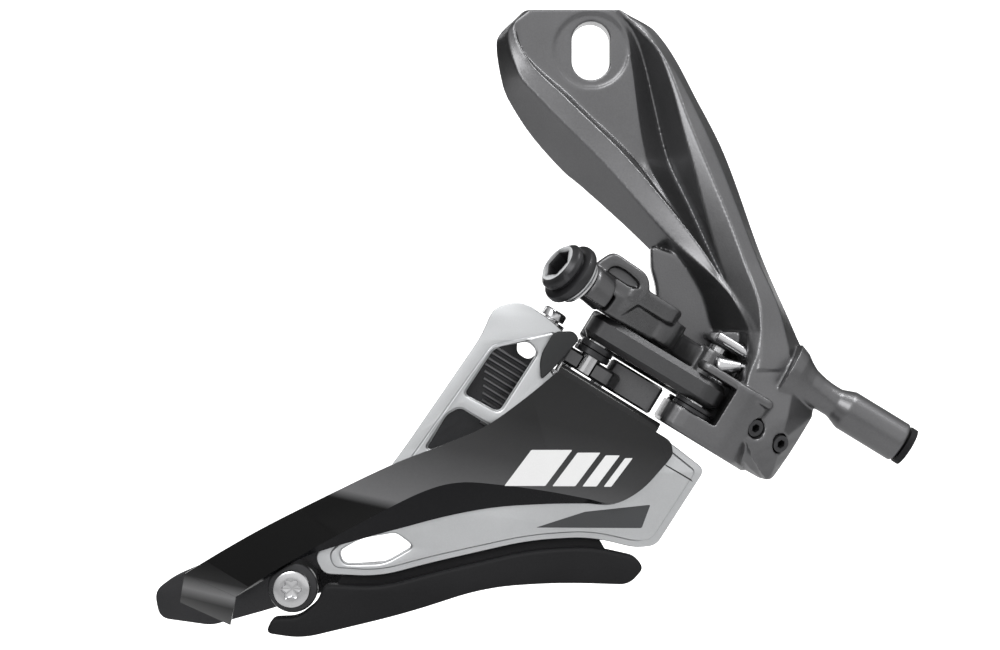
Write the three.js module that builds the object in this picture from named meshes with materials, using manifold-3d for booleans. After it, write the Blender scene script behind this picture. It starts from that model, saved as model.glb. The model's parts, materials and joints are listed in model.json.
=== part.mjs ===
// Side-swing front derailleur for two chainrings, direct-mount bracket, front cable pull.
// Millimetres. X points to the front of the bicycle, Y to the inboard side, Z up.
// The origin is the centre of the mounting slot on the bracket's flat back face (Y = 0).
// The linkage lives in a turned group with its own axes: u runs forward and down along the
// cable, v is inboard, and w is the direction of all four pivot pins.

import * as THREE from 'three';
import { mergeVertices } from 'three/addons/utils/BufferGeometryUtils.js';
import Module from 'manifold-3d';

const wasm = await Module();
wasm.setup();

// ---------- driving dimensions ----------
const GAP = 0.3;                       // clearance between neighbouring pieces
const TILT = THREE.MathUtils.degToRad(31.5);   // cable line below horizontal
const PIVOT_X = 19.45;                 // outer front pivot in the frame's X and Z
const PIVOT_Z = -65.8;

const SLOT_WIDTH = 7.5;                // mounting slot for an M6 bolt
const SLOT_LENGTH = 11.5;
const TAB_THICKNESS = 6;
const SPOT_FACE_RADIUS = 7.4;

const LINK_LENGTH = 21;                // pivot to pivot
const LINK_OFFSET = 4.7;               // how far the rear pivots sit inboard of the front ones
const OUTER_V = -30;                   // outer front pivot
const INNER_V = -17;                   // inner front pivot
const LINK_HALF = 2.5;                 // half height of the outer link
const INNER_HALF = 3;                  // half height of the inner link
const EYE_RADIUS = 3.9;
const PIN_RADIUS = 2;
const BUSH_RADIUS = 2.7;

const PLATE = 1.4;                     // sheet thickness of the cage plates
const FRAME_Y = -30.4;                 // outboard face of the black frame plate
const GUIDE_Y = -28.7;                 // outboard face of the silver guide plate
const INNER_Y = -14.2;                 // outboard face of the inner plate
const FLANGE_W = -9.2;                 // top of the folded flange that bridges the cage
const CARRIER_W = -5.6;                // top of the carrier under the rear pivots

const CABLE_V = -23;                   // cable line between inlet and anchor
const CABLE_W = 10.4;
const INLET_W = 11.2;                  // axis of the cable inlet
const INLET_END = 37.5;                // u where the inlet tube ends
const INLET_RADIUS = 3.9;
const INLET_NECK = 2.9;
const INLET_BORE = 2.8;

const REAR_U = -Math.sqrt(LINK_LENGTH ** 2 - LINK_OFFSET ** 2);
const OUTER_REAR_V = OUTER_V + LINK_OFFSET;
const INNER_REAR_V = INNER_V + LINK_OFFSET;

// ---------- materials ----------
function material(color, metalness, roughness) {
  return new THREE.MeshStandardMaterial({ color, metalness, roughness });
}
const anodised = material('#4a4a4c', 0.8, 0.45);
const darkAlloy = material('#2c2c2e', 0.8, 0.4);
const blackGloss = material('#141416', 0.6, 0.2);
const blackSteel = material('#1c1c1e', 0.7, 0.4);
const silver = material('#c9ccce', 0.9, 0.35);
const chrome = material('#d6d8da', 1, 0.15);
const blackPlastic = material('#202021', 0, 0.6);
const greyPlastic = material('#5a5a5c', 0, 0.5);
const springSteel = material('#8e9093', 1, 0.3);

// ---------- geometry helpers ----------

// The same surface with its shared corners merged, so that it is closed.
function closed(geometry) {
  const bare = new THREE.BufferGeometry();
  bare.setAttribute('position', geometry.getAttribute('position').clone());
  if (geometry.index) bare.setIndex(geometry.index.clone());
  return mergeVertices(bare, 1e-4);
}

// A closed geometry as a solid that can be joined and cut.
function solid(geometry) {
  return new wasm.Manifold(new wasm.Mesh({
    numProp: 3,
    vertProperties: Float32Array.from(geometry.getAttribute('position').array),
    triVerts: Uint32Array.from(geometry.index.array),
  }));
}

function geometryOf(body) {
  const mesh = body.getMesh();
  const geometry = new THREE.BufferGeometry();
  geometry.setAttribute('position', new THREE.BufferAttribute(mesh.vertProperties, 3));
  geometry.setIndex(new THREE.BufferAttribute(mesh.triVerts, 1));
  return geometry;
}

function join(...bodies) {
  return bodies.reduce((whole, body) => whole.add(body));
}

function cut(body, ...tools) {
  return tools.reduce((rest, tool) => rest.subtract(tool), body);
}

// A closed shape through [x, y, radius] corners, each corner rounded by its radius.
function roundedShape(corners) {
  const shape = new THREE.Shape();
  corners.forEach(([x, y, radius = 0], i) => {
    const corner = new THREE.Vector2(x, y);
    const before = corners.at(i - 1);
    const after = corners[(i + 1) % corners.length];
    const toBefore = new THREE.Vector2(before[0] - x, before[1] - y);
    const toAfter = new THREE.Vector2(after[0] - x, after[1] - y);
    const reach = Math.min(radius, toBefore.length() * 0.45, toAfter.length() * 0.45);
    const start = corner.clone().addScaledVector(toBefore.normalize(), reach);
    const end = corner.clone().addScaledVector(toAfter.normalize(), reach);
    if (i === 0) shape.moveTo(start.x, start.y);
    else shape.lineTo(start.x, start.y);
    if (reach > 0) shape.quadraticCurveTo(x, y, end.x, end.y);
  });
  shape.closePath();
  return shape;
}

function extruded(shape, depth, bevel, curveSegments = 4) {
  return closed(new THREE.ExtrudeGeometry(shape, {
    depth: depth - 2 * bevel,
    bevelEnabled: bevel > 0,
    bevelThickness: bevel,
    bevelSize: bevel,
    bevelOffset: -bevel,
    bevelSegments: 1,
    curveSegments,
  })).translate(0, 0, bevel);
}

// A plate whose outline is drawn in X and Z, standing between two values of Y.
function sidePlate(shape, fromY, toY, bevel = 0) {
  return solid(extruded(shape, toY - fromY, bevel).rotateX(Math.PI / 2).translate(0, toY, 0));
}

// A plate whose outline is drawn in u and v, lying between two values of w.
function levelPlate(shape, fromW, toW, bevel = 0) {
  return solid(extruded(shape, toW - fromW, bevel).translate(0, 0, fromW));
}

// Turns a geometry built along +Z so that it runs from one point to another.
function aimed(geometry, from, to) {
  const direction = new THREE.Vector3().subVectors(to, from).normalize();
  const turn = new THREE.Quaternion().setFromUnitVectors(new THREE.Vector3(0, 0, 1), direction);
  return geometry.applyQuaternion(turn).translate(from.x, from.y, from.z);
}

// A solid turned about its axis, from [radius, height] points that start and end on the axis
// or close on themselves; it stands on the point `from` and heads for `to`.
function turned(profile, from, to, segments = 24) {
  const points = profile.map(([radius, height]) => new THREE.Vector2(radius, height));
  const lathe = closed(new THREE.LatheGeometry(points, segments)).rotateX(Math.PI / 2);
  return solid(aimed(lathe, from, to));
}

function rod(radius, from, to, segments = 20) {
  const length = from.distanceTo(to);
  return turned([[0, 0], [radius, 0], [radius, length], [0, length]], from, to, segments);
}

function tube(outer, inner, from, to, segments = 20) {
  const length = from.distanceTo(to);
  const profile = [[inner, 0], [outer, 0], [outer, length], [inner, length], [inner, 0]];
  return turned(profile, from, to, segments);
}

const at = (u, v, w) => new THREE.Vector3(u, v, w);

// Upright rod, tube and disc about a pivot at (u, v).
const post = (u, v, radius, fromW, toW, n = 20) => rod(radius, at(u, v, fromW), at(u, v, toW), n);
const ring = (u, v, outer, inner, fromW, toW) => tube(outer, inner, at(u, v, fromW), at(u, v, toW));

function box(minimum, maximum) {
  const size = new THREE.Vector3().subVectors(maximum, minimum);
  const middle = new THREE.Vector3().addVectors(minimum, maximum).multiplyScalar(0.5);
  return solid(closed(new THREE.BoxGeometry(size.x, size.y, size.z))
    .translate(middle.x, middle.y, middle.z));
}

// A point of the linkage group in the frame.
function fromLinkage(u, v, w) {
  return new THREE.Vector3(u, v, w)
    .applyAxisAngle(new THREE.Vector3(0, 1, 0), TILT)
    .add(new THREE.Vector3(PIVOT_X, 0, PIVOT_Z));
}

function toFrame(body) {
  const matrix = new THREE.Matrix4().makeRotationY(TILT).setPosition(PIVOT_X, 0, PIVOT_Z);
  return solid(geometryOf(body).applyMatrix4(matrix));
}

// A six-sided key socket of a given reach between two points.
function hexSocket(reach, from, to) {
  const prism = closed(new THREE.CylinderGeometry(reach, reach, from.distanceTo(to), 6));
  prism.rotateX(Math.PI / 2).translate(0, 0, from.distanceTo(to) / 2);
  return solid(aimed(prism, from, to));
}

// Skin over a stack of rings that have the same number of points, closed by flat ends.
function lofted(rings) {
  const count = rings[0].length;
  const positions = rings.flat().flatMap((p) => [p.x, p.y, p.z]);
  const faces = [];
  for (let level = 0; level < rings.length - 1; level += 1) {
    for (let i = 0; i < count; i += 1) {
      const a = level * count + i;
      const b = level * count + ((i + 1) % count);
      faces.push(a, b, b + count, a, b + count, a + count);
    }
  }
  const lid = (points, first, flip) => {
    const flat = points.map((p) => new THREE.Vector2(p.x, p.y));
    THREE.ShapeUtils.triangulateShape(flat, []).forEach(([a, b, c]) => {
      if (flip) faces.push(first + a, first + c, first + b);
      else faces.push(first + a, first + b, first + c);
    });
  };
  lid(rings[0], 0, true);
  lid(rings.at(-1), (rings.length - 1) * count, false);
  const geometry = new THREE.BufferGeometry();
  geometry.setAttribute('position', new THREE.Float32BufferAttribute(positions, 3));
  geometry.setIndex(faces);
  return solid(geometry);
}

// ---------- assembly ----------
const derailleur = new THREE.Group();
const linkage = new THREE.Group();
linkage.position.set(PIVOT_X, 0, PIVOT_Z);
linkage.rotation.y = TILT;
derailleur.add(linkage);

function addTo(group, name, body, look) {
  const mesh = new THREE.Mesh(geometryOf(body), look);
  mesh.name = name;
  group.add(mesh);
}

// ---------- mounting bracket ----------

// The forged arm is drawn by the lines that run down it, each as [z, x, y] knots. Level
// sections between them give the drafted outer walls, the rim round the pad, the flat pad
// with the mounting slot, the gully beside it and the crest of the front flank.
const ARM_LINES = {
  left: [[8, -13.6, -2], [2, -18.6, -2], [-6.2, -17.4, -2], [-13.3, -13.8, -2],
    [-23.4, -5.4, -2], [-26.3, -2, -3], [-38.9, 11.2, -7], [-50, 21, -11], [-60, 24.8, -15],
    [-72, 24, -16], [-77.5, 22, -20], [-82.3, 30.6, -24]],
  rimOuter: [[8, -12.8, -5.2], [3.5, -16.4, -6], [-5, -14.2, -8.5], [-9.9, -10.1, -9.3],
    [-22.8, 2.5, -10.5], [-37, 14.8, -13], [-49, 26.4, -19.5], [-57.4, 29, -24.5],
    [-64.8, 26.6, -27.5], [-73, 25, -30], [-79, 27, -27], [-82.3, 30.9, -25.5]],
  rimInner: [[8, -12.3, -5.6], [5, -15, -6.3], [-2, -12.3, -8.2], [-9.8, -4.7, -8.8],
    [-22.8, 8.2, -10.3], [-44.4, 24, -16.5], [-57.4, 29.5, -25], [-64.8, 26.9, -28.3],
    [-73, 25.3, -31], [-82.3, 31, -26.5]],
  padLeft: [[8, -12, -6], [5, -14.4, -6], [2, -14.2, -6], [-9.8, -3, -6], [-22, 9.2, -6.4],
    [-44.4, 24.2, -16.3], [-57.4, 29.8, -25.3], [-64.8, 27, -28.5], [-73, 25.5, -31.4],
    [-82.3, 31.1, -27]],
  padRight: [[8, 4, -6], [2.4, 6.8, -6], [-20.7, 10.5, -6.2], [-44.4, 24.3, -16.2],
    [-57.4, 30, -25.5], [-64.8, 27.1, -28.6], [-73, 25.7, -31.6], [-82.3, 31.2, -27.3]],
  gully: [[8, 4.6, -6], [2, 9.4, -4.6], [-10, 12.4, -3.2], [-20, 15, -3.6], [-32, 19.6, -8.5],
    [-44.4, 24.4, -16], [-57.4, 30.2, -25.6], [-64.8, 27.2, -28.8], [-73, 25.9, -31.7],
    [-82.3, 31.25, -27.6]],
  gullyRim: [[8, 5.1, -6.2], [-0.9, 13.2, -7.6], [-18.9, 18.2, -11.8], [-44.4, 24.9, -16.8],
    [-57.4, 30.5, -25.8], [-64.8, 27.3, -28.9], [-73, 26.1, -31.8], [-82.3, 31.3, -27.8]],
  crest: [[8, 5.5, -6.2], [4.6, 8.9, -6.8], [-1.8, 14.2, -8], [-13.6, 18.4, -11],
    [-41.4, 28.4, -18.6], [-51.6, 30.9, -23.6], [-57.4, 30.8, -26], [-64.8, 27.5, -29],
    [-73, 26.4, -32], [-79, 28.4, -31], [-82.3, 31.4, -28]],
  flank: [[8, 5.8, -5.4], [4.6, 10.4, -6], [-13.6, 20.9, -9.2], [-41.4, 31.3, -16.6],
    [-51.6, 35, -20.8], [-64.8, 36.8, -25.5], [-73.5, 34.6, -28.6], [-82.3, 32.2, -27]],
  right: [[8, 6, -4], [4, 12.8, -4], [-10.1, 21.1, -5], [-20.4, 26, -6.8], [-41.3, 32.8, -12.5],
    [-56, 38.6, -17], [-64.5, 41.6, -20], [-70.2, 41.4, -21], [-75.7, 37.9, -22],
    [-79, 35.6, -23], [-82.3, 32.9, -24.5]],
};
const ARM_BACK = [[8, 0], [-20, 0], [-30, -1.4], [-40, -4.4], [-50, -7.5], [-60, -11], [-72, -13],
  [-78, -15], [-82.3, -21]];
const ARM_LEVELS = [8, 6.8, 4.6, 2, -2, -6.2, -11, -16, -20, -24, -28, -33, -38, -43, -47, -51, -55,
  -59, -63, -67, -71, -75, -78, -80.5, -82.3];

// The values of a line at a height, straight between its knots.
function atHeight(line, z) {
  const below = Math.max(1, line.findIndex((knot) => knot[0] <= z));
  const [z0, ...top] = line[below - 1];
  const [z1, ...bottom] = line[below];
  return top.map((value, i) => THREE.MathUtils.mapLinear(z, z0, z1, value, bottom[i]));
}

function armSection(z) {
  const [back] = atHeight(ARM_BACK, z);
  const front = Object.values(ARM_LINES).map((line) => atHeight(line, z));
  const [leftX] = front[0];
  const [rightX] = front.at(-1);
  const points = [[leftX + 0.8, back], ...front, [rightX - 0.8, back]];
  return points.map(([x, y]) => new THREE.Vector3(x, y, z));
}

const inletPoint = (u) => fromLinkage(u, CABLE_V + 1, INLET_W);

// The guide nose lies level below the guide tube, its stem in the arm's wall.
const NOSE_STEM = 0.5;
const NOSE_LENGTH = 6.2;
const nosePoint = (along) => new THREE.Vector3(28.2 - along, -23.7, -61.5);
const WEB_FRONT = -12.2;

// Limit screws enter from the outboard front and aim inboard and to the rear.
const SCREW_LEAN = THREE.MathUtils.degToRad(30);
const SCREW_RADIUS = 1.6;
const SCREW_LENGTH = 11.5;
const SCREW_SEATS = { low: [12.4, -31.4], high: [18.2, -29.2] };
const SCREW_W = -0.8;

function screwPoint([u, v], depth) {
  return at(u - depth * Math.sin(SCREW_LEAN), v + depth * Math.cos(SCREW_LEAN), SCREW_W);
}

function stadium(u0, v0, u1, v1, radius) {
  const along = new THREE.Vector2(u1 - u0, v1 - v0);
  const angle = along.angle();
  const shape = new THREE.Shape();
  shape.absarc(u1, v1, radius, angle - Math.PI / 2, angle + Math.PI / 2, false);
  shape.absarc(u0, v0, radius, angle + Math.PI / 2, angle + 1.5 * Math.PI, false);
  shape.closePath();
  return shape;
}

function bracket() {
  const arm = lofted([...ARM_LEVELS].reverse().map(armSection));
  const inletStart = 12;
  const inlet = turned([[0, 0], [6.2, 0], [5.4, 2.2], [4.4, 3.6], [3.6, 5.1], [3.1, 7.2],
    [INLET_NECK, 9], [INLET_NECK, 11], [INLET_RADIUS, 13.5],
    [INLET_RADIUS, INLET_END - inletStart - 0.4], [INLET_RADIUS - 0.4, INLET_END - inletStart],
    [0, INLET_END - inletStart]],
  inletPoint(inletStart), inletPoint(INLET_END), 28);
  const lug = toFrame(levelPlate(
    roundedShape([[-4.3, -33.8, 4], [8.5, -33.4, 1.5], [11.5, -31, 1.5], [16, -20, 2],
      [12, -13, 2], [-4.3, -12.8, 4]]), -8.8, 4.9, 0.5));
  const upperLug = toFrame(levelPlate(
    roundedShape([[-4.2, -21, 3], [14, -21, 1], [14, -12.6, 1], [-4.2, -12.8, 3]]), 9, 13, 0.4));
  const slot = sidePlate(stadium(0, (SLOT_WIDTH - SLOT_LENGTH) / 2, 0,
    (SLOT_LENGTH - SLOT_WIDTH) / 2, SLOT_WIDTH / 2), -20, 5);
  const spotFace = rod(SPOT_FACE_RADIUS, new THREE.Vector3(0, -14, 0),
    new THREE.Vector3(0, 0.3 - TAB_THICKNESS, 0), 32);
  const hubRoom = toFrame(join(
    post(0, OUTER_V, 4.7, -4.5, 5),
    post(0, INNER_V, 4.9, -4.5, 8.8),
    box(at(-30, -50, -4.5), at(0.2, INNER_V, 8.8)),
    box(at(-30, INNER_V, -4.5), at(0.2, -5, 3.6)),
    box(at(-30, INNER_V, 3.5), at(0.2, WEB_FRONT - 0.1, 8.8)),
    box(at(-10, -50, 3.3), at(4.8, -20, 9)),
    box(at(-1, -50, -4.5), at(4.8, OUTER_V, 4)),
  ));
  const pins = toFrame(join(
    post(0, OUTER_V, PIN_RADIUS + GAP, -10, -4),
    post(0, INNER_V, PIN_RADIUS + GAP, -10, 12.2),
  ));
  const cable = join(
    rod(INLET_BORE, inletPoint(28), inletPoint(INLET_END + 5)),
    rod(1.3, fromLinkage(-8, CABLE_V, CABLE_W), fromLinkage(14, CABLE_V, CABLE_W), 16),
    rod(1.3, fromLinkage(13, CABLE_V, CABLE_W), inletPoint(32), 16),
  );
  const screwHoles = toFrame(join(...Object.values(SCREW_SEATS).map(
    (seat) => rod(SCREW_RADIUS + GAP, screwPoint(seat, -6), screwPoint(seat, 13.5), 16))));
  const noseSeat = rod(NOSE_STEM + GAP, nosePoint(0), nosePoint(NOSE_LENGTH), 12);
  const topFork = toFrame(levelPlate(
    roundedShape([[-3.4, -33.8, 3], [12, -33, 1], [12, -26.4, 1], [-3.4, -26.4, 3]]), 3.3, 4.9, 0.3));
  // A web behind the links ties the arm's thin edge to the upper lug.
  const web = sidePlate(roundedShape([[11.2, -38.4, 1], [11.3, -43, 1], [12.3, -46.5, 1.5],
    [12.3, -54, 1], [25, -63, 1], [30, -56, 1], [16, -40, 1]]), WEB_FRONT, WEB_FRONT + 4, 0.5);
  const body = cut(join(arm, inlet, lug, upperLug, web), slot, spotFace, hubRoom, pins, cable,
    screwHoles, noseSeat);
  return join(body, topFork);
}

addTo(derailleur, 'mount_bracket', bracket(), anodised);

// ---------- cable inlet and guide ----------
const LINER_LENGTH = 8;

function inletLiner() {
  const lip = INLET_RADIUS - 0.2;
  const body = INLET_BORE - GAP;
  const bore = 2.1;
  return turned([[bore, 0], [body, 0], [body, LINER_LENGTH], [lip, LINER_LENGTH],
    [lip, LINER_LENGTH + 1.2], [bore, LINER_LENGTH + 1.2], [bore, 0]],
  at(INLET_END + GAP - LINER_LENGTH, CABLE_V + 1, INLET_W), at(60, CABLE_V + 1, INLET_W));
}

function guideTube() {
  const whole = tube(1, 0.65, at(-2.3, CABLE_V, CABLE_W), at(13, CABLE_V, CABLE_W), 20);
  const slit = box(at(-3, CABLE_V - 2, CABLE_W - 0.15), at(14, CABLE_V, CABLE_W + 0.15));
  return cut(whole, slit);
}

function guideNose() {
  const taper = [[0, 0], [NOSE_STEM, 0], [NOSE_STEM, 1], [0.9, 1.2], [1.95, NOSE_LENGTH - 1.2],
    [1.7, NOSE_LENGTH - 0.4], [1, NOSE_LENGTH], [0, NOSE_LENGTH]];
  return turned(taper, nosePoint(0), nosePoint(NOSE_LENGTH), 24);
}

addTo(linkage, 'cable_inlet_liner', inletLiner(), blackPlastic);
addTo(linkage, 'cable_guide_tube', guideTube(), chrome);
addTo(derailleur, 'guide_nose', guideNose(), chrome);

// ---------- limit screws ----------
function limitScrew(seat) {
  const shank = rod(SCREW_RADIUS, screwPoint(seat, 1.2), screwPoint(seat, 1.2 + SCREW_LENGTH), 20);
  return cut(shank, hexSocket(0.85, screwPoint(seat, 0), screwPoint(seat, 3)));
}

addTo(linkage, 'low_limit_screw', limitScrew(SCREW_SEATS.low), blackSteel);
addTo(linkage, 'high_limit_screw', limitScrew(SCREW_SEATS.high), blackSteel);

// ---------- pins, bushes and washers of the four pivots ----------
const PIVOTS = {
  outer_front: { u: 0, v: OUTER_V, foot: -8.5, head: LINK_HALF - 0.2, half: LINK_HALF },
  inner_front: { u: 0, v: INNER_V, foot: -8.5, head: 11.8, half: 7.9 },
  outer_rear: { u: REAR_U, v: OUTER_REAR_V, foot: -8.6, head: LINK_HALF - 0.2, half: LINK_HALF },
  inner_rear: { u: REAR_U, v: INNER_REAR_V, foot: -8.6, head: 8.6, half: INNER_HALF },
};

for (const [name, { u, v, foot, head, half }] of Object.entries(PIVOTS)) {
  addTo(linkage, `${name}_pin`, post(u, v, PIN_RADIUS, foot, head), chrome);
  const low = name.startsWith('inner') ? INNER_HALF : LINK_HALF;
  addTo(linkage, `${name}_bush`,
    ring(u, v, BUSH_RADIUS, PIN_RADIUS + GAP / 2, -low, Math.min(half, 2.2)), greyPlastic);
  const seat = name.endsWith('front') ? -4.8 : CARRIER_W;
  const outer = name.endsWith('front') ? EYE_RADIUS - 0.1 : 3.3;
  addTo(linkage, `${name}_washer`,
    ring(u, v, outer, PIN_RADIUS + GAP, seat + GAP, -low - GAP), blackSteel);
}

// ---------- outer link ----------
function outerLink() {
  const shape = stadium(0, OUTER_V, REAR_U, OUTER_REAR_V, EYE_RADIUS);
  const bar = levelPlate(shape, -LINK_HALF, LINK_HALF, 1.1);
  const bores = [[0, OUTER_V], [REAR_U, OUTER_REAR_V]].map(
    ([u, v]) => post(u, v, BUSH_RADIUS + GAP / 2, -LINK_HALF - 1, LINK_HALF + 1));
  return cut(bar, ...bores);
}

addTo(linkage, 'outer_link', outerLink(), anodised);

// ---------- inner link with the cable arm ----------
const ANCHOR_FACE = at(-35.1, -34, 5.9);        // outer face of the anchor bolt's head
const ANCHOR_OUT = at(-0.887, -0.45, 0.118).normalize();
const anchorPoint = (depth) => ANCHOR_FACE.clone().addScaledVector(ANCHOR_OUT, -depth);
const ANCHOR_SEAT = 6.4;                         // depth of the seat behind the bolt's face

function innerLink() {
  const bar = levelPlate(stadium(0, INNER_V, REAR_U, INNER_REAR_V, EYE_RADIUS - 0.1),
    -INNER_HALF, INNER_HALF, 0.5);
  const hub = post(0, INNER_V, 4.3, -INNER_HALF, 7.9, 24);
  const arm = levelPlate(roundedShape([[3.6, -19, 2], [2.5, -14, 3], [-8, -15, 3], [-22, -21, 3],
    [-29.5, -22.5, 2], [-31, -28.5, 2], [-24, -30.5, 3], [-13, -27, 4], [-5, -20.2, 4], [0, -19.5, 1]]),
  LINK_HALF + GAP, 7.4, 0.4);
  const barrel = post(-12.4, -22.4, 4.4, 3.4, 8.6, 24);
  const horn = sidePlate(roundedShape([[-31, 3.6], [-28.8, 10.4, 3], [-27.4, 13.4, 2.4],
    [-19.4, 13, 3], [-17.2, 9.6, 3], [-20, 3.6]]), -29.6, -23.2, 0.4);
  const groove = sidePlate(roundedShape([[-26.6, 9.4, 1], [-26, 11.2, 1], [-23.8, 11.6, 1],
    [-20.6, 11.1, 1.2], [-19.6, 9.9, 1], [-21.4, 9.2, 1]]), -32, -27.4);
  const lugBody = cut(turned([[0, 0], [4.2, 0], [4.6, 0.6], [4.6, 4.5], [0, 7]],
    anchorPoint(ANCHOR_SEAT), anchorPoint(ANCHOR_SEAT + 5)),
  box(at(-40, -40, -10), at(-15, -15, 3.4)));
  const thread = rod(2.3 + GAP, anchorPoint(ANCHOR_SEAT - 1), anchorPoint(ANCHOR_SEAT + 6.5), 16);
  const stopPin = rod(0.9, at(-13.6, -27, 9.6), at(-13.6, -24, 9.6), 12);
  const web = levelPlate(roundedShape([[-21, -30, 1], [-11, -28, 2], [-10, -24, 1], [-21, -24, 1]]),
    7.2, 10.6, 0.4);
  const bores = join(
    post(0, INNER_V, BUSH_RADIUS + GAP / 2, -INNER_HALF - 1, 9),
    post(REAR_U, INNER_REAR_V, BUSH_RADIUS + GAP / 2, -INNER_HALF - 1, INNER_HALF + 1));
  return cut(join(bar, hub, arm, barrel, horn, lugBody, web, stopPin), groove, thread, bores);
}

addTo(linkage, 'inner_link', innerLink(), darkAlloy);

// ---------- cable anchor ----------
function anchorBolt() {
  const length = ANCHOR_SEAT + 6;
  const profile = [[0, 0], [3.7, 0], [4.05, 0.35], [4.7, 0.8], [4.75, 1.7], [4.3, 2], [4.3, 2.4],
    [5.6, 2.7], [5.9, 3.2], [5.9, 4.1], [5.6, 4.5], [2.3, 4.5], [2.3, length - 0.8],
    [1.7, length], [0, length]];
  const body = turned(profile, ANCHOR_FACE, anchorPoint(5), 32);
  return cut(body, hexSocket(2.8, anchorPoint(-1), anchorPoint(3)));
}

function anchorRing(outer, near, far) {
  return tube(outer, 2.3 + GAP, anchorPoint(near), anchorPoint(far), 28);
}

addTo(linkage, 'anchor_bolt', anchorBolt(), blackSteel);
addTo(linkage, 'anchor_washer', anchorRing(4.9, 4.5 + GAP, 5.3), silver);
addTo(linkage, 'anchor_clamp_plate', anchorRing(4.5, 5.6, ANCHOR_SEAT - GAP), chrome);

// ---------- return spring ----------
const COIL_RADIUS = 3.9;
const WIRE_RADIUS = 0.6;
const COIL_TURNS = 2.6;

class SpringPath extends THREE.Curve {
  getPoint(t) {
    const angle = t * COIL_TURNS * 2 * Math.PI;
    return at(REAR_U + COIL_RADIUS * Math.cos(angle), INNER_REAR_V + COIL_RADIUS * Math.sin(angle),
      4.1 + t * 3.6);
  }
}

function returnSpring() {
  const section = new THREE.Shape();
  section.absarc(0, 0, WIRE_RADIUS, 0, 2 * Math.PI, false);
  return solid(closed(new THREE.ExtrudeGeometry(section, {
    steps: 44, bevelEnabled: false, curveSegments: 4, extrudePath: new SpringPath(),
  })));
}

addTo(linkage, 'return_spring', returnSpring(), springSteel);
addTo(linkage, 'spring_cap', cut(
  post(REAR_U, INNER_REAR_V, 4.8, 8.5, 9.8, 24),
  post(REAR_U, INNER_REAR_V, PIN_RADIUS + GAP, 8, 8.9)), darkAlloy);

// ---------- cage carrier, with the wall that the limit screws stop ----------
const RIVET_RADIUS = 1.3;
const RIVETS = [[-16.8, -18.8], [-23.6, -18.8]];

function cageCarrier() {
  const edge = GUIDE_Y + PLATE + GAP;
  const base = levelPlate(roundedShape([[-25.5, edge, 1], [-15.4, edge, 1], [-13, -20, 3],
    [-14.6, -8.4, 3], [-24.6, -8.4, 3], [-25.6, -16, 3]]), FLANGE_W + GAP, CARRIER_W, 0.5);
  const pins = [[REAR_U, OUTER_REAR_V], [REAR_U, INNER_REAR_V]].map(
    ([u, v]) => post(u, v, PIN_RADIUS + GAP, -8.6 - GAP, -5));
  const rivets = RIVETS.map(([u, v]) => post(u, v, RIVET_RADIUS + GAP, -7.4, -12, 16));
  const stopWall = levelPlate(roundedShape([[-16.5, -20.4, 1], [-5.6, -22.4, 1], [-5.4, -17, 1],
    [-9, -14.6, 2], [-16.5, -13.6, 1]]), FLANGE_W + GAP, -INNER_HALF - GAP, 0.4);
  return cut(join(base, stopWall), ...pins, ...rivets);
}

addTo(linkage, 'cage_carrier', cageCarrier(), darkAlloy);
RIVETS.forEach(([u, v], i) => {
  const rivet = join(post(u, v, RIVET_RADIUS, -11.2, -7.8, 16), post(u, v, 2.2, -11.8, -10.9, 20));
  addTo(linkage, `carrier_rivet_${i + 1}`, rivet, chrome);
});

// A dark lug beside the frame plate's upper corner, riveted to the silver plate.
function plateLug() {
  return sidePlate(roundedShape([[-7.9, -54.9, 1], [-4.3, -54.8, 1.2], [-3.2, -56.3, 1],
    [-6.9, -60.6, 1], [-10.3, -63.9, 1], [-10.6, -59.6, 1.5]]), FRAME_Y, FRAME_Y + PLATE, 0.15);
}

addTo(derailleur, 'plate_lug', plateLug(), greyPlastic);

// ---------- black frame plate ----------
const TAIL_SCREW = new THREE.Vector3(-56, 0, -102.1);

function framePlate() {
  const face = sidePlate(roundedShape([[-6.8, -61.2, 1], [-20.4, -72.5, 6], [-37.1, -79.1, 6],
    [-60.1, -90.3, 6], [-75.6, -99.3, 1.5], [-66.2, -103.6, 1.5], [-54.6, -96.4, 5],
    [-29.4, -89.2, 8], [-14.1, -86.8, 6], [3.4, -86.6, 3], [13.9, -77.6, 2.5], [12.6, -72.9, 1]]),
  FRAME_Y, FRAME_Y + PLATE, 0.4);
  const flange = toFrame(levelPlate(roundedShape([[-24.8, FRAME_Y + 0.4, 0], [-2.7, FRAME_Y + 0.4, 0],
    [-4.5, -20, 2], [-12, -14.6, 2], [-24.4, -14.6, 2]]), FLANGE_W - PLATE, FLANGE_W));
  const fold = toFrame(box(at(-24.8, FRAME_Y + 0.3, FLANGE_W - 2.4), at(-2.9, FRAME_Y + PLATE, FLANGE_W)));
  const rivets = toFrame(join(...RIVETS.map(
    ([u, v]) => post(u, v, RIVET_RADIUS + GAP, -12, -8, 16))));
  const tail = lofted([0, 1].map((k) => [
    [-75.9, FRAME_Y + 0.5], [-66.2, FRAME_Y + 0.5], [-66, FRAME_Y + 1.4], [-75.7, FRAME_Y + 1.4],
  ].map(([x, y]) => new THREE.Vector3(
    x - 1.4 * (1 - k) * (x < -70 ? 1 : 1.2),
    y + 4.6 * (1 - k),
    (x < -70 ? -99.3 : -103.4) - 5.6 * (1 - k)))));
  return cut(join(face, flange, fold, tail), rivets);
}

addTo(derailleur, 'outer_frame_plate', framePlate(), blackGloss);

// ---------- silver guide plate ----------
function guideWindow(corners) {
  return sidePlate(roundedShape(corners), GUIDE_Y - 3, GUIDE_Y + 4);
}

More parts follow.
